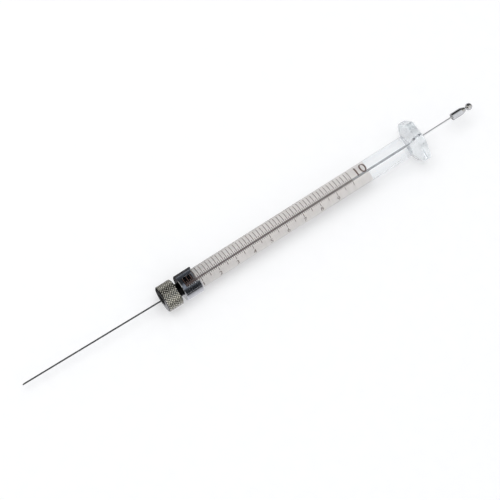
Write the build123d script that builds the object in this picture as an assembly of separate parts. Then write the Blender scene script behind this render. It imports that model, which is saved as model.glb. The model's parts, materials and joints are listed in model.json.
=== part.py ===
from build123d import *
import math
import os

# A ten microlitre syringe with a removable needle, lying on its side as it comes to rest.
#
# Every piece is first drawn on its own axis: X runs along the syringe from the needle (-X) to the
# plunger button (+X), x = 0 is the zero mark, and +Z is the side that ends up on top. The last
# section lays the whole syringe down. Lengths are millimetres and angles are degrees.

# ---- driving dimensions ----

# Glass barrel
capacity = 10.0                 # cubic millimetres drawn in over the whole scale
scale_length = 60.0             # from the zero mark to the full mark
barrel_diameter = 6.65
glass_end = 0.0                 # the ground end of the glass, on the zero mark
glass_edge_chamfer = 0.25
bore_mouth_diameter = 1.3       # the funnel that the plunger is threaded into
bore_mouth_depth = 0.7

# Six-sided finger flange, pressed out of the same glass
shoulder_start = 80.8
flange_start = 82.8             # where the six flats begin
flange_end = 84.95
flange_across_flats = 12.7
flange_corner_radius = 1.5
flange_edge_round = 0.45

# Terminal: a sleeve with a reading window, and the threaded stud that the nut screws onto
sleeve_diameter = 8.26
sleeve_front = -0.5
sleeve_back = 5.35
sleeve_chamfer = 0.22
window_start = 0.75
window_width = 3.3
window_corner_radius = 0.6
window_turn = 6.0               # from the top, towards -Y
mouth_flare_length = 1.35       # the window's far corner is cut away at its open end
mouth_flare_width = 2.1
stud_diameter = 4.5
stud_front = -5.2
stud_bore_diameter = 3.3
thread_pitch = 0.5
thread_depth = 0.27
thread_sides = 24               # flats that one turn of the thread is drawn with

# Knurled nut
nut_front = -6.8
nut_back = -1.8
nut_diameter = 8.5
nut_chamfer = 0.3
nut_face_drop = 0.45            # how far the end faces stay inside the knurl's peaks
nut_wall = 1.0                  # thickness of the front wall that pulls the needle in
nut_needle_hole_diameter = 1.0
knurl_teeth = 30                # diamonds round the nut
knurl_rows = 5                  # whole diamonds along the nut
knurl_depth = 0.26
knurl_flat = 0.18               # share of each diamond that stays flat on top

# Needle, its hub and its seal
needle_diameter = 0.47
needle_bore_diameter = 0.13
needle_tip = -54.5
needle_lean = 1.2               # the tube leans towards +Y, from just outside the hub
needle_lean_start = -7.05
needle_lean_radius = 20.0
needle_bevel_angle = 22.0
hub_head_diameter = 4.0
hub_head_length = 0.48
hub_diameter = 3.2
hub_nose_diameter = 0.9
hub_nose_back_from_face = 0.1
seal_length = 1.18

# Plunger
wire_diameter = 0.43
wire_tip = 0.05
wire_seat_depth = 2.4           # how far the wire is set into its button
button_start = 97.3
button_length = 3.6
button_diameter = 2.24
button_chamfer = 0.15
button_taper_length = 1.25
button_taper_diameter = 1.3      # where the taper ends, in a step down to the neck
button_neck_diameter = 0.8
ball_diameter = 2.2
ball_end = 104.7

# Clearances
running_clearance = 0.05        # on the radius, between pieces that turn or slide on each other
face_gap = 0.02                 # along the axis, between faces that meet across a joint

# ---- sizes that follow from those above ----

bore_radius = math.sqrt(capacity / (math.pi * scale_length))
barrel_radius = barrel_diameter / 2
sleeve_radius = sleeve_diameter / 2
flange_apothem = flange_across_flats / 2
stud_radius = stud_diameter / 2
nut_bore_radius = stud_radius + running_clearance
nut_wall_inside = nut_front + nut_wall
needle_radius = needle_diameter / 2
hub_front = nut_wall_inside + face_gap
seal_back = glass_end - face_gap
seal_front = seal_back - seal_length
needle_end = seal_back


def turned(*profile):
    """The solid that a closed (x, radius) outline sweeps round the syringe's axis."""
    return revolve(make_face(Polyline(*profile, close=True)), Axis.X)


def drilled(start, end, radius):
    """A round hole's worth of material, from start to end along the axis."""
    return turned((start, 0), (end, 0), (end, radius), (start, radius))


def on_ring(x, radius, turn):
    """The point at a radius and a turn, in degrees, round the syringe's axis."""
    angle = math.radians(turn)
    return Vector(x, radius * math.sin(angle), radius * math.cos(angle))


def closed_solid(triangles):
    """The solid that a closed skin of triangles encloses."""
    skin = [Face(Wire.make_polygon(corners, close=True)) for corners in triangles]
    return Solid(Shell(skin))


# ---- glass barrel ----

def rounded_hexagon(x, apothem, corner_radius):
    """A hexagon across the axis at x, with a flat at the bottom and its corners rounded."""
    corner_distance = apothem / math.cos(math.radians(30))
    outline = RegularPolygon(corner_distance, 6, rotation=30)
    outline = fillet(outline.vertices(), corner_radius)
    return Plane(origin=(x, 0, 0), x_dir=(0, 0, 1), z_dir=(1, 0, 0)) * outline


def flange():
    """The hexagonal flange, swelling out of the round barrel over a soft pressed shoulder."""
    steps = 6
    sections = []
    for step in range(steps + 1):
        swell = step / steps
        x = shoulder_start + (flange_start - shoulder_start) * swell
        reach = math.sin(math.radians(90 * swell)) ** 1.15
        apothem = barrel_radius + (flange_apothem - barrel_radius) * reach
        round_corner = 0.985 * barrel_radius * (1 - reach) + flange_corner_radius * reach
        sections.append(rounded_hexagon(x, apothem, round_corner))
    shoulder = loft(sections)
    rim = extrude(sections[-1], flange_end - flange_start, dir=(1, 0, 0))
    top_edges = rim.edges().filter_by(lambda edge: edge.bounding_box().min.X > flange_end - 0.01)
    return shoulder + fillet(top_edges, flange_edge_round)


def make_glass_barrel():
    tube = turned(
        (glass_end, 0),
        (glass_end, barrel_radius - glass_edge_chamfer),
        (glass_end + glass_edge_chamfer, barrel_radius),
        (flange_start, barrel_radius),
        (flange_start, 0),
    )
    bore = drilled(glass_end - 1, flange_end + 1, bore_radius)
    mouth = turned(
        (flange_end - bore_mouth_depth, 0),
        (flange_end - bore_mouth_depth, bore_radius),
        (flange_end, bore_mouth_diameter / 2),
        (flange_end + 1, bore_mouth_diameter / 2),
        (flange_end + 1, 0),
    )
    return tube + flange() - bore - mouth


# ---- terminal ----

def thread(front, back):
    """A right-handed screw thread between two planes across the axis, as strips between its
    crest and its root."""
    def corner(half_turn, side):
        x = front - 1.5 * thread_pitch + (half_turn / 2 + side / thread_sides) * thread_pitch
        radius = stud_radius - (thread_depth if half_turn % 2 else 0)
        return on_ring(x, radius, 360 * side / thread_sides)

    half_turns = 2 * math.ceil((back - front) / thread_pitch + 3)
    triangles = []
    for half_turn in range(half_turns):
        for side in range(thread_sides):
            near, far = corner(half_turn, side), corner(half_turn, side + 1)
            near_next, far_next = corner(half_turn + 1, side), corner(half_turn + 1, side + 1)
            triangles += [(near, far, far_next), (near, far_next, near_next)]
    # Each end is closed by a cone of triangles from a point on the axis to the thread's last strip.
    for end, apex_shift in ((0, -thread_pitch), (half_turns, 2 * thread_pitch)):
        apex = Vector(corner(end, 0).X + apex_shift, 0, 0)
        for side in range(thread_sides):
            triangles.append((apex, corner(end, side), corner(end, side + 1)))
        step = corner(end, 0), corner(end + 1, 0), corner(end + 2, 0)
        if end:
            step = corner(end, thread_sides), corner(end - 1, thread_sides), corner(end, 0)
        triangles += [(apex, step[0], step[1]), (apex, step[1], step[2])]
    return closed_solid(triangles)


def make_terminal():
    sleeve = turned(
        (sleeve_front, 0),
        (sleeve_front, sleeve_radius - sleeve_chamfer),
        (sleeve_front + sleeve_chamfer, sleeve_radius),
        (sleeve_back - sleeve_chamfer, sleeve_radius),
        (sleeve_back, sleeve_radius - sleeve_chamfer),
        (sleeve_back, 0),
    )
    socket = drilled(glass_end, sleeve_back + 1, barrel_radius)
    return fuse_stud(sleeve - socket - reading_window()) - stud_bore()


def reading_window():
    """The slot that lets the first graduations be read, open towards the flange, where its far
    side flares out."""
    beyond = sleeve_back + 1
    length = beyond - window_start
    slot = Box(length, window_width, sleeve_diameter, align=(Align.MIN, Align.CENTER, Align.MIN))
    closed_end = slot.edges().filter_by(Axis.Z).group_by(Axis.X)[0]
    slot = Pos(window_start, 0, 0) * fillet(closed_end, window_corner_radius)
    edge = window_width / 2
    slope = mouth_flare_width / mouth_flare_length
    flare = make_face(
        Polyline(
            (sleeve_back - mouth_flare_length, edge),
            (beyond, edge + slope * (mouth_flare_length + 1)),
            (beyond, 0),
            (sleeve_back - mouth_flare_length, 0),
            close=True,
        )
    )
    return Rot(X=window_turn) * (slot + extrude(flare, sleeve_diameter))


def fuse_stud(sleeve):
    """The sleeve with its threaded stud, whose tip is chamfered below the thread's root."""
    tip_radius = stud_radius - thread_depth
    blank = turned(
        (stud_front, 0),
        (stud_front, tip_radius),
        (stud_front + thread_depth, stud_radius + 0.01),
        (sleeve_front, stud_radius + 0.01),
        (sleeve_front, 0),
    )
    return sleeve + (thread(stud_front, sleeve_front) & blank)


def stud_bore():
    return drilled(stud_front - 1, glass_end + 1, stud_bore_diameter / 2)


# ---- knurled nut ----

def knurled_blank():
    """The nut's outside: staggered diamonds, each four slopes up to a small flat, between two
    chamfered end faces."""
    sides = 2 * knurl_teeth
    rows = 2 * knurl_rows
    first = nut_front + nut_chamfer
    row_step = (nut_back - nut_chamfer - first) / rows
    turn_step = 360 / sides
    peak = nut_diameter / 2
    valley = peak - knurl_depth
    flat_turn = knurl_flat * turn_step
    flat_step = knurl_flat * row_step
    # The side corners of a flat stand out a little, so that its four corners lie in one plane.
    flat_side = peak / math.cos(math.radians(flat_turn))

    def valley_corner(row, side):
        return on_ring(first + row * row_step, valley, side * turn_step)

    def diamond(row, side):
        """One diamond's triangles, with only the half inside the nut at its ends."""
        x, turn = first + row * row_step, side * turn_step
        valleys = [
            valley_corner(row, side - 1),
            valley_corner(row + 1, side),
            valley_corner(row, side + 1),
            valley_corner(row - 1, side),
        ]
        flats = [
            on_ring(x, flat_side, turn - flat_turn),
            on_ring(x + flat_step, peak, turn),
            on_ring(x, flat_side, turn + flat_turn),
            on_ring(x - flat_step, peak, turn),
        ]
        quarters = {0: (0, 1), rows: (2, 3)}.get(row, (0, 1, 2, 3))
        triangles = []
        for quarter in quarters:
            after = (quarter + 1) % 4
            triangles.append((valleys[quarter], valleys[after], flats[after]))
            triangles.append((valleys[quarter], flats[after], flats[quarter]))
        if 0 < row < rows:
            return triangles + [tuple(flats[:3]), (flats[2], flats[3], flats[0])]
        return triangles + [(flats[0], flats[1 if row == 0 else 3], flats[2])]

    def end_ring(row, x):
        """The chamfer from the zigzag of the last row down to a flat end face."""
        face_radius = peak - nut_face_drop
        centre = Vector(x, 0, 0)
        triangles = []
        for side in range(sides):
            if (row + side) % 2:
                turn = side * turn_step
                zigzag = [
                    valley_corner(row, side - 1),
                    on_ring(first + row * row_step, flat_side, turn - flat_turn),
                    on_ring(first + row * row_step, flat_side, turn + flat_turn),
                    valley_corner(row, side + 1),
                ]
                face = [on_ring(x, face_radius, turn + shift * turn_step) for shift in (-1, 0, 1)]
                triangles += [
                    (zigzag[0], zigzag[1], face[0]),
                    (zigzag[1], face[1], face[0]),
                    (zigzag[1], zigzag[2], face[1]),
                    (zigzag[2], face[2], face[1]),
                    (zigzag[2], zigzag[3], face[2]),
                    (face[0], face[1], centre),
                    (face[1], face[2], centre),
                ]
        return triangles

    triangles = end_ring(0, nut_front) + end_ring(rows, nut_back)
    for row in range(rows + 1):
        for side in range(sides):
            if (row + side) % 2:
                triangles += diamond(row, side)
    return closed_solid(triangles)


def make_needle_nut():
    bore = turned(
        (nut_wall_inside, 0),
        (nut_wall_inside, nut_bore_radius),
        (nut_back - nut_chamfer, nut_bore_radius),
        (nut_back, nut_bore_radius + nut_chamfer),
        (nut_back + 1, nut_bore_radius + nut_chamfer),
        (nut_back + 1, 0),
    )
    needle_hole = drilled(nut_front - 1, nut_wall_inside + 1, nut_needle_hole_diameter / 2)
    return knurled_blank() - bore - needle_hole


# ---- needle ----

def make_needle_tube():
    """The tube, straight through its hub and then leaning a little, with a bevelled point."""
    lean = Pos(needle_lean_start, 0, 0) * Rot(Z=-needle_lean) * Pos(-needle_lean_start, 0, 0)
    path = FilletPolyline(
        (needle_end, 0, 0),
        (needle_lean_start, 0, 0),
        (lean * Pos(needle_tip, 0, 0)).position,
        radius=needle_lean_radius,
    )
    start = Plane(origin=path @ 0, z_dir=path % 0)
    tube = sweep(start * Circle(needle_radius), path=path)
    bore = sweep(start * Circle(needle_bore_diameter / 2), path=path)
    # What the bevel takes off is a wedge over a plane from the point to the tube's upper side.
    bevel_length = needle_diameter / math.tan(math.radians(needle_bevel_angle))
    wedge_outline = Plane.XZ * make_face(
        Polyline(
            (needle_tip, -needle_radius),
            (needle_tip + bevel_length, needle_radius),
            (needle_tip + bevel_length, needle_diameter),
            (needle_tip - needle_diameter, needle_diameter),
            (needle_tip - needle_diameter, -needle_radius),
            close=True,
        )
    )
    return tube - bore - lean * extrude(wedge_outline, needle_diameter, both=True)


def make_needle_hub():
    """The bushing that the nut's front wall pulls into the terminal."""
    nose_front = nut_front + hub_nose_back_from_face
    hub = turned(
        (nose_front, needle_radius),
        (nose_front, hub_nose_diameter / 2),
        (hub_front, hub_nose_diameter / 2),
        (hub_front, hub_head_diameter / 2),
        (hub_front + hub_head_length, hub_head_diameter / 2),
        (hub_front + hub_head_length, hub_diameter / 2),
        (seal_front, hub_diameter / 2),
        (seal_front, needle_radius),
    )
    return hub


def make_needle_seal():
    """The soft washer squeezed between the hub and the glass, flush with the needle's end."""
    return turned(
        (seal_front, needle_radius),
        (seal_front, hub_diameter / 2),
        (seal_back, hub_diameter / 2),
        (seal_back, needle_radius),
    )


# ---- plunger ----

def make_plunger_wire():
    return drilled(wire_tip, button_start + wire_seat_depth, wire_diameter / 2)


def make_plunger_button():
    button_radius = button_diameter / 2
    neck_radius = button_neck_diameter / 2
    ball_radius = ball_diameter / 2
    cylinder_end = button_start + button_length
    taper_end = cylinder_end + button_taper_length
    ball_centre = ball_end - ball_radius
    ball_start = ball_centre - math.sqrt(ball_radius ** 2 - neck_radius ** 2)
    outline = make_face(
        Polyline(
            (button_start, 0),
            (button_start, button_radius - button_chamfer),
            (button_start + button_chamfer, button_radius),
            (cylinder_end, button_radius),
            (taper_end, button_taper_diameter / 2),
            (taper_end, neck_radius),
            (ball_start, neck_radius),
        )
        + ThreePointArc((ball_start, neck_radius), (ball_centre, ball_radius), (ball_end, 0))
        + Line((ball_end, 0), (button_start, 0))
    )
    seat = drilled(button_start - 1, button_start + wire_seat_depth, wire_diameter / 2)
    return revolve(outline, Axis.X) - seat


# ---- laying the syringe down ----

# It rests on two things: a flat of the flange, by its edge where the flats begin, and the nut.
# The axis therefore falls a little towards the needle.
rest_span = flange_start - (nut_front + nut_chamfer)
rest_tilt = math.degrees(math.atan((flange_apothem - nut_diameter / 2) / rest_span))

pieces = {
    "glass_barrel": make_glass_barrel(),
    "terminal": make_terminal(),
    "needle_nut": make_needle_nut(),
    "needle_tube": make_needle_tube(),
    "needle_hub": make_needle_hub(),
    "needle_seal": make_needle_seal(),
    "plunger_wire": make_plunger_wire(),
    "plunger_button": make_plunger_button(),
}
laid_down = {name: Rot(Y=-rest_tilt) * piece for name, piece in pieces.items()}

# The origin is in the middle of the syringe's box, on the surface it lies on.
box = Compound(list(laid_down.values())).bounding_box()
origin = Pos(-box.center().X, -box.center().Y, -box.min.Z)

os.makedirs("parts", exist_ok=True)
for name, piece in laid_down.items():
    export_step(origin * piece, f"parts/{name}.step")

zero_mark = (origin * Rot(Y=-rest_tilt)).position
print("tilt", rest_tilt, "zero mark at", zero_mark, "box", box.size)
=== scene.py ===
"""The looks of a ten microlitre syringe that lies on a white table."""
import json
import math

import bmesh
import bpy
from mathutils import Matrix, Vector


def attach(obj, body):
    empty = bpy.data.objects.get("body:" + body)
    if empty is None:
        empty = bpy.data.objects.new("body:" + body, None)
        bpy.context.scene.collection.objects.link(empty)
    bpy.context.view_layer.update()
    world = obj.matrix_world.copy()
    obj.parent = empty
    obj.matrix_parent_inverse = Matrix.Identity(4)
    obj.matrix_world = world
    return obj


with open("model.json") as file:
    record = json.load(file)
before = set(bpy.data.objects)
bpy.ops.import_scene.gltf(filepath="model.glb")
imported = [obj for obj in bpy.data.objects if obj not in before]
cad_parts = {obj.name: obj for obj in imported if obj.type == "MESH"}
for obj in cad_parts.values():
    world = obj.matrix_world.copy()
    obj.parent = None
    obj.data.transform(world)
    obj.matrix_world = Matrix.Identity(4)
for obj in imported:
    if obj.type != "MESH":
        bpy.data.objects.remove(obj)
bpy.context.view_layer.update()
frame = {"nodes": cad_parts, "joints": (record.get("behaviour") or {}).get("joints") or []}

MM = 0.001

# ---- the syringe's own axis, from the frame's joints ----

joints = {joint["name"]: joint for joint in frame["joints"]}
AXIS = Vector(joints["plunger_slide"]["axis"]).normalized()   # from the needle to the plunger
SIDE = Vector((0, -1, 0))                                     # towards the camera's side
UP = SIDE.cross(AXIS)
NUT_AHEAD_OF_ZERO = 4.3 * MM
ZERO = Vector(joints["nut_turn"]["pos_m"]) + AXIS * NUT_AHEAD_OF_ZERO

# ---- sizes of the print, in metres and degrees ----

GLASS_RADIUS = 3.325 * MM
INK_LIFT = 0.006 * MM            # how far the print stands on the glass
SCALE_LENGTH = 60 * MM
SCALE_START = 0.9 * MM           # nearer to zero the sleeve hides the glass
SCALE_STEPS = 100                # tenths of a microlitre
BASELINE_TURN = 18.0             # from the top, towards SIDE
BASELINE_WIDTH = 0.21 * MM
TICK_WIDTH = 0.17 * MM
TICK_UP = {1: 17.0, 2: 60.0, 10: 66.0}       # reach above the baseline, by tenths
TICK_DOWN = {1: 13.0, 5: 27.0, 10: 29.0}     # and below it
ENAMEL_END = 67.0 * MM
STUD_FRONT = -5.2 * MM           # the terminal's thread starts here,
SLEEVE_FRONT = -0.5 * MM         # its sleeve here,
SLEEVE_BACK = 5.35 * MM          # and it ends here
FLANGE_SHOULDER = 80.8 * MM
NUT_FRONT = -6.8 * MM
KNURL_VALLEY = 3.99 * MM
KNURL_PEAK = 4.23 * MM
DIGIT_HEIGHT = 1.5 * MM
DIGIT_TURN = 66.0                # of a number's middle
LAST_NUMBER_HEIGHT = 3.2 * MM
LAST_NUMBER_PLACE = 63.7 * MM
LAST_NUMBER_TURN = -10.0

# ---- the camera, as in the photograph ----

CAMERA_AZIMUTH = 33.80           # of the line of sight, from +Y towards +X
CAMERA_ELEVATION = 68.5
CAMERA_DISTANCE = 0.6783
CAMERA_AIM = Vector((-0.00079, 0.00024, 0.0))
FOCAL_PIXELS = 2278.0
IMAGE_PIXELS = 500
SENSOR_WIDTH = 36.0

# ---- the light ----

TABLE_GLOW = 0.33                # what the table's own colour lacks to white, for the camera
KEY_LIGHT_PLACE = (-0.03, 0.09, 0.80)
KEY_LIGHT_SIZE = 0.8
KEY_LIGHT_POWER = 2.8


def on_axis(x, radius, turn):
    """A point x along the axis from the zero mark, at a radius and a turn from the top."""
    angle = math.radians(turn)
    return ZERO + AXIS * x + (UP * math.cos(angle) + SIDE * math.sin(angle)) * radius


# ---- mesh helpers ----

def piece_from(name, vertices, faces):
    mesh = bpy.data.meshes.new(name)
    mesh.from_pydata([tuple(v) for v in vertices], [], faces)
    mesh.validate()
    mesh.update()
    mesh.shade_smooth()
    obj = bpy.data.objects.new(name, mesh)
    bpy.context.scene.collection.objects.link(obj)
    return obj


class Print:
    """Patches of ink laid on the glass, each a grid that follows the round surface."""

    def __init__(self, lift=INK_LIFT):
        self.radius = GLASS_RADIUS + lift
        self.vertices = []
        self.faces = []

    def patch(self, x_from, x_to, turn_from, turn_to, turn_step=4.0, x_step=None):
        turns = max(1, math.ceil(abs(turn_to - turn_from) / turn_step))
        runs = max(1, math.ceil((x_to - x_from) / x_step)) if x_step else 1
        start = len(self.vertices)
        for run in range(runs + 1):
            x = x_from + (x_to - x_from) * run / runs
            for turn in range(turns + 1):
                angle = turn_from + (turn_to - turn_from) * turn / turns
                self.vertices.append(on_axis(x, self.radius, angle))
        for run in range(runs):
            for turn in range(turns):
                a = start + run * (turns + 1) + turn
                b = a + turns + 1
                self.faces.append((a, b, b + 1, a + 1))

    def piece(self, name):
        return piece_from(name, self.vertices, self.faces)


# ---- materials ----

class Tree:
    """Short calls to wire the nodes of a material or of the world."""

    def __init__(self, tree):
        self.tree = tree

    def add(self, kind, **settings):
        node = self.tree.nodes.new(kind)
        for key, value in settings.items():
            setattr(node, key, value)
        return node

    def link(self, source, target):
        self.tree.links.new(source, target)

    def coordinates(self, kind):
        return self.add("ShaderNodeTexCoord").outputs[kind]

    def noise(self, scale, detail=3.0, stretch=None):
        node = self.add("ShaderNodeTexNoise")
        node.inputs["Scale"].default_value = scale
        node.inputs["Detail"].default_value = detail
        source = self.coordinates("Object")
        if stretch:
            mapping = self.add("ShaderNodeMapping")
            mapping.inputs["Scale"].default_value = stretch
            self.link(source, mapping.inputs["Vector"])
            source = mapping.outputs["Vector"]
        self.link(source, node.inputs["Vector"])
        return node.outputs["Fac"]

    def ramp(self, source, *stops):
        """A colour by a source that runs from 0 to 1, from (place, colour) stops."""
        node = self.add("ShaderNodeValToRGB")
        elements = node.color_ramp.elements
        while len(elements) < len(stops):
            elements.new(0.5)
        for element, (place, colour) in zip(elements, stops):
            element.position = place
            element.color = (*colour, 1)
        self.link(source, node.inputs["Fac"])
        return node.outputs["Color"]

    def grey_ramp(self, source, *stops):
        """A ramp between greys, from (place, grey) stops."""
        return self.ramp(source, *[(place, (grey,) * 3) for place, grey in stops])

    def math(self, operation, first, second):
        node = self.add("ShaderNodeMath", operation=operation)
        for socket, value in zip(node.inputs, (first, second)):
            if isinstance(value, (int, float)):
                socket.default_value = value
            else:
                self.link(value, socket)
        return node.outputs["Value"]

    def rescale(self, source, low, high):
        """0 where the source is low or less, 1 where it is high or more, and even between."""
        node = self.add("ShaderNodeMapRange")
        node.inputs["From Min"].default_value = low
        node.inputs["From Max"].default_value = high
        self.link(source, node.inputs["Value"])
        return node.outputs["Result"]

    def stepped(self, source, stops):
        """A colour by the source's value, even between the (value, colour) stops."""
        low, high = stops[0][0], stops[-1][0]
        places = [((value - low) / (high - low), colour) for value, colour in stops]
        return self.ramp(self.rescale(source, low, high), *places)

    def blend(self, share, first, second):
        """The first colour where share is 0 and the second where it is 1."""
        node = self.add("ShaderNodeMix", data_type="RGBA")
        sockets = [socket for socket in node.inputs if socket.type == "RGBA"]
        self.link(share, node.inputs["Factor"])
        for socket, colour in zip(sockets, (first, second)):
            if isinstance(colour, tuple):
                socket.default_value = (*colour, 1)
            else:
                self.link(colour, socket)
        return [socket for socket in node.outputs if socket.type == "RGBA"][0]

    def dot(self, source, way):
        node = self.add("ShaderNodeVectorMath", operation="DOT_PRODUCT")
        self.link(source, node.inputs[0])
        node.inputs[1].default_value = way
        return node.outputs["Value"]

    def mirror_ray(self):
        """1 for a ray that a surface mirrors, and 0 for one that glass lets through."""
        path = self.add("ShaderNodeLightPath")
        through = self.math("SUBTRACT", 1.0, path.outputs["Is Transmission Ray"])
        return self.math("MULTIPLY", path.outputs["Is Glossy Ray"], through)


class Nodes(Tree):
    """A new material with its shader."""

    def __init__(self, name):
        self.material = bpy.data.materials.new(name)
        self.material.use_nodes = True
        super().__init__(self.material.node_tree)
        self.shader = self.tree.nodes["Principled BSDF"]
        self.output = self.tree.nodes["Material Output"]

    def set(self, **values):
        for key, value in values.items():
            self.shader.inputs[key.replace("_", " ")].default_value = value

    def bump(self, height, strength, distance, faceted=False):
        """Raised detail; faceted shades each face by its own plane, not smoothed over its edges."""
        node = self.add("ShaderNodeBump")
        node.inputs["Strength"].default_value = strength
        node.inputs["Distance"].default_value = distance
        self.link(height, node.inputs["Height"])
        if faceted:
            geometry = self.add("ShaderNodeNewGeometry")
            self.link(geometry.outputs["True Normal"], node.inputs["Normal"])
        self.link(node.outputs["Normal"], self.shader.inputs["Normal"])

    def mix_in(self, share, shader_output):
        """Puts another shader over what the surface has so far, by the share."""
        mix = self.add("ShaderNodeMixShader")
        self.link(share, mix.inputs["Fac"])
        self.link(self.output.inputs["Surface"].links[0].from_socket, mix.inputs[1])
        self.link(shader_output, mix.inputs[2])
        self.link(mix.outputs["Shader"], self.output.inputs["Surface"])

    def let_lamps_through(self, leaving, entering):
        """Lamps shine through the surface, tinted; everything else still meets the shader."""
        clear = self.add("ShaderNodeBsdfTransparent")
        from_inside = self.add("ShaderNodeNewGeometry").outputs["Backfacing"]
        self.link(self.blend(from_inside, entering, leaving), clear.inputs["Color"])
        path = self.add("ShaderNodeLightPath")
        self.mix_in(path.outputs["Is Shadow Ray"], clear.outputs["BSDF"])

    def end_trapped_rays(self, colour):
        """A ray mirrored again and again in the glass ends in a painted glow of a set tone, never in
        black.
        """
        pale = self.add("ShaderNodeEmission")
        self.link(colour, pale.inputs["Color"])
        mirrored_times = self.add("ShaderNodeLightPath").outputs["Glossy Depth"]
        self.mix_in(self.math("GREATER_THAN", mirrored_times, 2.5), pale.outputs["Emission"])

    def from_zero(self):
        """A point's place from the zero mark."""
        offset = self.add("ShaderNodeVectorMath", operation="SUBTRACT")
        self.link(self.coordinates("Object"), offset.inputs[0])
        offset.inputs[1].default_value = ZERO
        return offset.outputs["Vector"]

    def distance_from_axis(self):
        across = self.add("ShaderNodeVectorMath", operation="CROSS_PRODUCT")
        self.link(self.from_zero(), across.inputs[0])
        across.inputs[1].default_value = AXIS
        length = self.add("ShaderNodeVectorMath", operation="LENGTH")
        self.link(across.outputs["Vector"], length.inputs[0])
        return length.outputs["Value"]

    def distance_along_axis(self):
        return self.dot(self.from_zero(), AXIS)


def metal(name, dark, light, roughness, grain_scale, grain_bump):
    """Plated or ground metal: fine turning marks round the axis and a little uneven tone."""
    nodes = Nodes(name)
    nodes.set(Metallic=1.0)
    tone = nodes.noise(900, detail=4)
    nodes.link(nodes.ramp(tone, (0.3, dark), (0.7, light)), nodes.shader.inputs["Base Color"])
    patchy = nodes.noise(400, detail=2)
    low, high = roughness
    nodes.link(nodes.grey_ramp(patchy, (0.3, low), (0.7, high)), nodes.shader.inputs["Roughness"])
    marks = nodes.noise(1.0, detail=2, stretch=(grain_scale, 40, 40))
    nodes.bump(marks, grain_bump, 0.01 * MM)
    return nodes.material


def wire_material():
    """Ground wire, painted darker inside the barrel as shade, and bright beyond the flange."""
    nodes = Nodes("wire_steel")
    nodes.set(Metallic=1.0)
    tone = nodes.noise(900, detail=4)
    # Painted shade: inside the barrel the steel is dark, and beyond the flange it is bright.
    shaded_in_bore = nodes.ramp(tone, (0.3, (0.26, 0.265, 0.27)), (0.7, (0.34, 0.345, 0.35)))
    bright = nodes.ramp(tone, (0.3, (0.84, 0.84, 0.85)), (0.7, (0.95, 0.95, 0.96)))
    outside = nodes.rescale(nodes.distance_along_axis(), FLANGE_SHOULDER, FLANGE_SHOULDER + 8 * MM)
    nodes.link(nodes.blend(outside, shaded_in_bore, bright), nodes.shader.inputs["Base Color"])
    nodes.link(nodes.grey_ramp(tone, (0.3, 0.30), (0.7, 0.42)), nodes.shader.inputs["Roughness"])
    nodes.bump(nodes.noise(1.0, detail=2, stretch=(9000, 40, 40)), 0.1, 0.01 * MM)
    return nodes.material


def glass_material():
    """Clear glass with faint smears, a little greyer in the flange, where the glass is deepest."""
    nodes = Nodes("barrel_glass")
    nodes.set(Metallic=0.0, IOR=1.474)
    nodes.shader.inputs["Transmission Weight"].default_value = 1.0
    tint = nodes.noise(25, detail=2)
    tube = nodes.ramp(tint, (0.35, (0.955, 0.972, 0.985)), (0.65, (0.965, 0.98, 0.99)))
    flange = nodes.rescale(nodes.distance_along_axis(), FLANGE_SHOULDER, FLANGE_SHOULDER + 2 * MM)
    colour = nodes.blend(flange, tube, (0.895, 0.915, 0.93))
    nodes.link(colour, nodes.shader.inputs["Base Color"])
    smear = nodes.noise(260, detail=3)
    nodes.link(nodes.grey_ramp(smear, (0.4, 0.004), (0.75, 0.03)), nodes.shader.inputs["Roughness"])
    nodes.let_lamps_through(leaving=(0.97, 0.975, 0.98), entering=(0.04, 0.042, 0.045))
    # Trapped rays end in a painted glow: a dark one along the tube, which draws the tube's edges as a
    # dark outline, and a pale one in the deep glass of the flange.
    trapped_glow_tones = [
        (FLANGE_SHOULDER + 0.6 * MM, (0.20, 0.22, 0.25)),
        (FLANGE_SHOULDER + 2 * MM, (0.82, 0.86, 0.88)),
    ]
    nodes.end_trapped_rays(nodes.stepped(nodes.distance_along_axis(), trapped_glow_tones))
    return nodes.material


def knurled_material():
    """Satin plating, bright on the peaks, and rougher and painted near black down in the grooves as
    shade.
    """
    nodes = Nodes("nut_plating")
    radius = nodes.distance_from_axis()
    height = nodes.rescale(radius, KNURL_VALLEY, KNURL_PEAK)
    grain = nodes.noise(2600, detail=4)
    mixed = nodes.math("ADD", height, nodes.math("MULTIPLY", grain, 0.25))
    # The colour is painted shade down in the grooves, near black, growing bright towards the peaks.
    colour = nodes.ramp(
        mixed, (0.15, (0.045, 0.045, 0.04)), (0.4, (0.60, 0.59, 0.55)), (0.8, (0.90, 0.885, 0.85))
    )
    # Round the needle's hole the front face is made black, without metal sheen.
    face = nodes.rescale(nodes.distance_along_axis(), NUT_FRONT + 0.1 * MM, NUT_FRONT + 0.02 * MM)
    black_face = nodes.math("MULTIPLY", face, nodes.rescale(radius, 2.6 * MM, 1.7 * MM))
    off_black_face = nodes.math("SUBTRACT", 1.0, black_face)
    nodes.link(nodes.blend(black_face, colour, (0.012, 0.012, 0.012)), nodes.shader.inputs["Base Color"])
    nodes.link(off_black_face, nodes.shader.inputs["Metallic"])
    nodes.link(nodes.math("MULTIPLY", off_black_face, 0.5), nodes.shader.inputs["Specular IOR Level"])
    nodes.link(nodes.grey_ramp(mixed, (0.1, 0.25), (1.0, 0.10)), nodes.shader.inputs["Roughness"])
    nodes.bump(grain, 0.15, 0.02 * MM, faceted=True)
    return nodes.material


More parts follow.
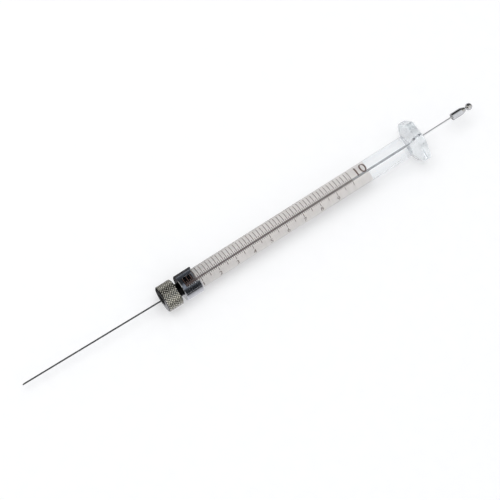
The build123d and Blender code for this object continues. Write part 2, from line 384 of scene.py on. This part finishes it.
def terminal_material():
    """Bright plating outside, a dark thread and front face, and painted shade inside the sleeve."""
    nodes = Nodes("terminal_plating")
    nodes.set(Metallic=1.0)
    tone = nodes.noise(900, detail=4)
    bright = nodes.ramp(tone, (0.3, (0.62, 0.63, 0.66)), (0.7, (0.74, 0.74, 0.77)))
    place = nodes.distance_along_axis()
    # Greys for the thread and the front face, which are dark, and for inside the sleeve a painted shade,
    # darkest near the zero mark and paler towards the back end.
    inside = [
        (STUD_FRONT, 0.07), (SLEEVE_FRONT, 0.07), (0.0, 0.02), (0.45 * SLEEVE_BACK, 0.06),
        (0.8 * SLEEVE_BACK, 0.12), (SLEEVE_BACK, 0.22),
    ]
    dark_and_painted_shade = nodes.stepped(place, [(x, (grey, grey, grey * 1.04)) for x, grey in inside])
    outside = nodes.rescale(
        nodes.distance_from_axis(), GLASS_RADIUS + 0.01 * MM, GLASS_RADIUS + 0.06 * MM
    )
    behind_face = nodes.rescale(place, SLEEVE_FRONT + 0.01 * MM, SLEEVE_FRONT + 0.06 * MM)
    plated = nodes.math("MULTIPLY", outside, behind_face)
    nodes.link(nodes.blend(plated, dark_and_painted_shade, bright), nodes.shader.inputs["Base Color"])
    rough = nodes.grey_ramp(nodes.noise(400, detail=2), (0.3, 0.06), (0.7, 0.12))
    nodes.link(rough, nodes.shader.inputs["Roughness"])
    nodes.bump(nodes.noise(1.0, detail=2, stretch=(30000, 40, 40)), 0.12, 0.01 * MM)
    return nodes.material


def speckled_material(name, dark, light, roughness):
    """A dull, finely speckled stuff: printed ink, or the seal's white plastic."""
    nodes = Nodes(name)
    nodes.set(Metallic=0.0, Roughness=roughness)
    speckle = nodes.noise(1500, detail=3)
    nodes.link(nodes.ramp(speckle, (0.35, dark), (0.65, light)), nodes.shader.inputs["Base Color"])
    nodes.bump(nodes.noise(3000, detail=2), 0.05, 0.01 * MM)
    return nodes.material


def back_enamel_material():
    """Pale speckled enamel, with painted light that makes it paler towards its far edge."""
    nodes = Nodes("back_enamel")
    nodes.set(Metallic=0.0, Roughness=0.5)
    speckle = nodes.noise(1500, detail=3)
    enamel_tone = nodes.ramp(speckle, (0.35, (0.81, 0.775, 0.745)), (0.65, (0.87, 0.83, 0.80)))
    painted_lit_tone = nodes.ramp(speckle, (0.35, (0.95, 0.91, 0.88)), (0.65, (0.99, 0.95, 0.92)))
    # Painted light: the enamel is paler towards its far edge, away from the camera's side.
    painted_light_share = nodes.rescale(nodes.dot(nodes.from_zero(), SIDE), -0.4 * MM, -1.7 * MM)
    nodes.link(nodes.blend(painted_light_share, enamel_tone, painted_lit_tone), nodes.shader.inputs["Base Color"])
    nodes.bump(nodes.noise(3000, detail=2), 0.05, 0.01 * MM)
    return nodes.material


def dress(obj, material):
    obj.data.materials.clear()
    obj.data.materials.append(material)


def add_print(printed, name, material):
    """Makes a piece of the print, dressed in its material, which rides with the barrel."""
    obj = printed.piece(name)
    dress(obj, material)
    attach(obj, "barrel")


INK = speckled_material("brown_ink", (0.085, 0.048, 0.038), (0.125, 0.073, 0.06), 0.5)
BACK_ENAMEL = back_enamel_material()

cad = frame["nodes"]
dress(cad["glass_barrel"], glass_material())
dress(cad["terminal"], terminal_material())
dress(cad["needle_nut"], knurled_material())
# A painted dark reflection: the needle's steel is given a dark colour for the dark surroundings it
# mirrors.
dress(
    cad["needle_tube"],
    metal("needle_steel", (0.155, 0.155, 0.16), (0.23, 0.23, 0.235), (0.25, 0.4), 9000, 0.1),
)
dress(
    cad["needle_hub"],
    metal("hub_steel", (0.5, 0.5, 0.5), (0.6, 0.6, 0.6), (0.2, 0.35), 20000, 0.1),
)
dress(
    cad["needle_seal"],
    speckled_material("seal_ptfe", (0.84, 0.84, 0.82), (0.92, 0.92, 0.90), 0.45),
)
dress(cad["plunger_wire"], wire_material())
dress(
    cad["plunger_button"],
    metal("button_steel", (0.66, 0.66, 0.67), (0.78, 0.78, 0.79), (0.10, 0.2), 30000, 0.12),
)


# ---- the graduated scale ----

def reach(table, step):
    """The longest reach that the table gives a tick, by what its number of tenths divides by."""
    return max(angle for tenths, angle in table.items() if step % tenths == 0)


def make_scale():
    ticks = Print()
    for step in range(SCALE_STEPS + 1):
        x = SCALE_LENGTH * step / SCALE_STEPS
        if x < SCALE_START:
            continue
        up, down = reach(TICK_UP, step), reach(TICK_DOWN, step)
        half = TICK_WIDTH / 2
        ticks.patch(x - half, x + half, BASELINE_TURN - up, BASELINE_TURN + down)
    half_turn = math.degrees(BASELINE_WIDTH / 2 / GLASS_RADIUS)
    ticks.patch(
        SCALE_START, SCALE_LENGTH, BASELINE_TURN - half_turn, BASELINE_TURN + half_turn, x_step=2 * MM
    )
    add_print(ticks, "scale_ticks", INK)


make_scale()


def make_back_enamel():
    """The pale enamel fired into the underside of the glass, which the ticks are read against."""
    back = Print(lift=-INK_LIFT)
    back.patch(SLEEVE_BACK, ENAMEL_END, 92, 268, turn_step=5, x_step=6 * MM)
    add_print(back, "back_enamel", BACK_ENAMEL)


make_back_enamel()


def flat_number(text, height):
    """The outline of a plain number as flat faces, its middle at the origin, cut into fine strips."""
    curve = bpy.data.curves.new("number_" + text, "FONT")
    curve.body = text
    curve.align_x = "CENTER"
    curve.size = 1.0
    curve.resolution_u = 6
    shape = bpy.data.objects.new("number_" + text, curve)
    bpy.context.scene.collection.objects.link(shape)
    evaluated = shape.evaluated_get(bpy.context.evaluated_depsgraph_get())
    flat = bmesh.new()
    flat.from_mesh(evaluated.to_mesh())
    bpy.data.objects.remove(shape)
    bpy.data.curves.remove(curve)
    low = min(vertex.co.y for vertex in flat.verts)
    high = max(vertex.co.y for vertex in flat.verts)
    scale = height / (high - low)
    for vertex in flat.verts:
        vertex.co = Vector((vertex.co.x * scale, (vertex.co.y - (low + high) / 2) * scale, 0))
    strips = 8
    for strip in range(1, strips):
        level = height * (strip / strips - 0.5)
        everything = flat.verts[:] + flat.edges[:] + flat.faces[:]
        bmesh.ops.bisect_plane(flat, geom=everything, plane_co=(0, level, 0), plane_no=(0, 1, 0))
    return flat


def print_number(printed, text, x, turn, height):
    """Wraps a number round the glass, its foot towards the camera's side."""
    flat = flat_number(text, height)
    start = len(printed.vertices)
    flat.verts.index_update()
    for vertex in flat.verts:
        across = math.degrees(vertex.co.y / printed.radius)
        printed.vertices.append(on_axis(x + vertex.co.x, printed.radius, turn - across))
    for face in flat.faces:
        printed.faces.append(tuple(start + vertex.index for vertex in face.verts))
    flat.free()


def make_numbers():
    numbers = Print()
    for number in range(1, 10):
        x = SCALE_LENGTH * number / 10
        print_number(numbers, str(number), x, DIGIT_TURN, DIGIT_HEIGHT)
    print_number(numbers, "10", LAST_NUMBER_PLACE, LAST_NUMBER_TURN, LAST_NUMBER_HEIGHT)
    add_print(numbers, "scale_numbers", INK)


make_numbers()


# ---- table, light and camera ----

def make_floor():
    """The white table. It gives off a light that is seen by the camera, through the glass and in
    the metal, and that lights nothing."""
    half = 1.5
    floor = piece_from(
        "table", [(-half, -half, 0), (half, -half, 0), (half, half, 0), (-half, half, 0)], [(0, 1, 2, 3)]
    )
    nodes = Nodes("table_white")
    nodes.set(Roughness=0.9)
    nodes.shader.inputs["Specular IOR Level"].default_value = 0.0
    grain = nodes.noise(300)
    nodes.link(nodes.grey_ramp(grain, (0.3, 0.70), (0.7, 0.72)), nodes.shader.inputs["Base Color"])
    across = nodes.dot(nodes.from_zero(), SIDE)
    # The table glows white to the eye. Through the glass it shows a painted glow, brightest just under
    # the syringe, where it lifts the shadow, and dimmer the further off it is.
    painted_glow_under_glass = [
        (-30, 0.0), (-9, 0.05), (-5.6, 0.13), (-3.4, 0.24), (-2.3, 0.33), (-1.6, 0.42), (1, 0.42),
        (4, 0.25), (10, 0.10), (30, 0.05),
    ]
    glow = nodes.stepped(across, [(place * MM, (grey,) * 3) for place, grey in painted_glow_under_glass])
    path = nodes.add("ShaderNodeLightPath")
    seen = [
        nodes.math("MULTIPLY", path.outputs["Is Camera Ray"], TABLE_GLOW),
        nodes.math("MULTIPLY", path.outputs["Is Transmission Ray"], glow),
    ]
    nodes.shader.inputs["Emission Color"].default_value = (1, 1, 1, 1)
    nodes.link(nodes.math("MAXIMUM", *seen), nodes.shader.inputs["Emission Strength"])
    # In the mirror of the metal the table shows a painted reflection, pale near the syringe and dim
    # further out. By the plunger it is pale all over, with a painted shadow where the button lies.
    by_needle = [
        (-30, 0.08), (-6, 0.05), (-1, 0.20), (0, 0.85), (4, 0.80), (7, 0.75), (10, 0.66), (15, 0.53),
        (20, 0.40), (26, 0.20), (35, 0.06),
    ]
    by_plunger = [(-30, 0.85), (-6, 0.60), (-2, 0.30), (1, 0.25), (4, 0.50), (9, 0.85), (30, 0.85)]
    tables = [
        nodes.stepped(across, [(place * MM, (grey, grey, grey * 1.04)) for place, grey in greys])
        for greys in (by_needle, by_plunger)
    ]
    plunger_end = nodes.rescale(nodes.distance_along_axis(), 40 * MM, 70 * MM)
    mirrored = nodes.add("ShaderNodeEmission")
    nodes.link(nodes.blend(plunger_end, *tables), mirrored.inputs["Color"])
    nodes.mix_in(nodes.mirror_ray(), mirrored.outputs["Emission"])
    dress(floor, nodes.material)


def make_world():
    """Even grey light all round. Metal mirrors a studio in it, of dark cards and bright panels: one
    set beside each end of the syringe, and one for each way that leads along it."""
    world = bpy.data.worlds.new("studio")
    world.use_nodes = True
    bpy.context.scene.world = world
    nodes = Tree(world.node_tree)
    way = nodes.coordinates("Generated")
    along = nodes.dot(way, AXIS)
    turn = nodes.math("ARCTAN2", nodes.dot(way, SIDE), nodes.dot(way, UP))
    # Greys by the turn round the syringe, 0 straight up and 90 towards the camera's side. First
    # beside its two ends, then for the ways that lead along it.
    needle_end = [
        (-180, 0.40), (-130, 0.35), (-90, 0.15), (-72, 0.06), (-50, 0.03), (-10, 0.03), (14, 0.25),
        (24, 0.32), (34, 0.27), (52, 0.05), (62, 0.02), (80, 0.015), (100, 0.10), (180, 0.5),
    ]
    plunger_end = [
        (-180, 0.5), (-120, 0.05), (-36, 0.01), (0, 0.70), (10, 0.88), (120, 0.80), (180, 0.6),
    ]
    # Low over the needle: a panel just behind the top, then dark, and pale again at the near side.
    backward = [
        (-180, 0.4), (-40, 0.4), (-20, 0.8), (-5, 0.8), (10, 0.05), (60, 0.05), (90, 0.7), (180, 0.5),
    ]
    # Steeper over the needle: dark behind, and one wide bright panel in front.
    middle = [
        (-180, 0.3), (-90, 0.3), (-60, 0.05), (10, 0.05), (20, 1.2), (100, 1.2), (120, 0.5), (180, 0.5),
    ]
    # Over the plunger: two bright strips in front.
    forward = [
        (-180, 0.3), (-60, 0.05), (5, 0.1), (20, 1.2), (32, 0.1), (48, 0.5), (62, 1.2), (90, 0.1),
        (180, 0.4),
    ]

    def band(greys, red, blue):
        stops = [(math.radians(degrees), (grey * red, grey, grey * blue)) for degrees, grey in greys]
        return nodes.stepped(turn, stops)

    # How far a way leads along the axis, from -1 to 1, chooses its band. The ones beside the ends
    # are met from 0 to 0.37, which is where round metal sends the eye, and the others elsewhere.
    beside = nodes.blend(
        nodes.rescale(along, 0.20, 0.235),
        band(needle_end, red=0.90, blue=1.16),
        band(plunger_end, red=0.98, blue=1.03),
    )
    over_needle = nodes.blend(
        nodes.rescale(along, -0.55, -0.42),
        band(backward, red=1.01, blue=0.93),
        band(middle, red=1.01, blue=0.93),
    )
    over_both = nodes.blend(
        nodes.rescale(along, 0.1, 0.45), over_needle, band(forward, red=1.01, blue=0.93)
    )
    is_beside = nodes.math(
        "MULTIPLY", nodes.rescale(along, -0.02, 0.02), nodes.rescale(along, 0.40, 0.34)
    )
    mirrored = nodes.blend(is_beside, over_both, beside)
    path = nodes.add("ShaderNodeLightPath")
    straight = nodes.math("LESS_THAN", path.outputs["Diffuse Depth"], 0.5)
    through_glass = nodes.math("MULTIPLY", path.outputs["Is Transmission Ray"], straight)
    # Through the tube the eye meets even light, and through the flange's slopes dark cards as well.
    cards = [
        (-0.95, 0.40), (-0.6, 0.25), (-0.48, 0.93), (0.12, 0.93), (0.2, 0.25), (0.32, 0.93),
        (0.6, 0.45), (0.95, 0.8),
    ]
    behind_glass = nodes.stepped(along, [(x, (grey * 0.98, grey, grey * 1.03)) for x, grey in cards])
    open_air = nodes.blend(through_glass, (0.60, 0.61, 0.63), behind_glass)
    seen = nodes.blend(nodes.mirror_ray(), open_air, mirrored)
    nodes.link(seen, world.node_tree.nodes["Background"].inputs["Color"])


def aim(obj, target):
    obj.rotation_euler = (Vector(target) - obj.location).to_track_quat("-Z", "Y").to_euler()


def make_light(name, place, size, power):
    light = bpy.data.lights.new(name, "AREA")
    light.shape = "DISK"
    light.size = size
    light.energy = power
    obj = bpy.data.objects.new(name, light)
    bpy.context.scene.collection.objects.link(obj)
    obj.location = place
    obj.visible_glossy = False
    aim(obj, (0, 0, 0))


def make_camera():
    azimuth, elevation = math.radians(CAMERA_AZIMUTH), math.radians(CAMERA_ELEVATION)
    towards = Vector((
        -math.sin(azimuth) * math.cos(elevation),
        -math.cos(azimuth) * math.cos(elevation),
        math.sin(elevation),
    ))
    data = bpy.data.cameras.new("camera")
    data.sensor_width = SENSOR_WIDTH
    data.lens = FOCAL_PIXELS / IMAGE_PIXELS * SENSOR_WIDTH
    data.clip_start = 0.01
    camera = bpy.data.objects.new("camera", data)
    bpy.context.scene.collection.objects.link(camera)
    camera.location = CAMERA_AIM + towards * CAMERA_DISTANCE
    aim(camera, CAMERA_AIM)
    bpy.context.scene.camera = camera


make_floor()
make_world()
make_light("key_light", KEY_LIGHT_PLACE, KEY_LIGHT_SIZE, KEY_LIGHT_POWER)
make_camera()
bpy.context.scene.view_settings.view_transform = "Standard"
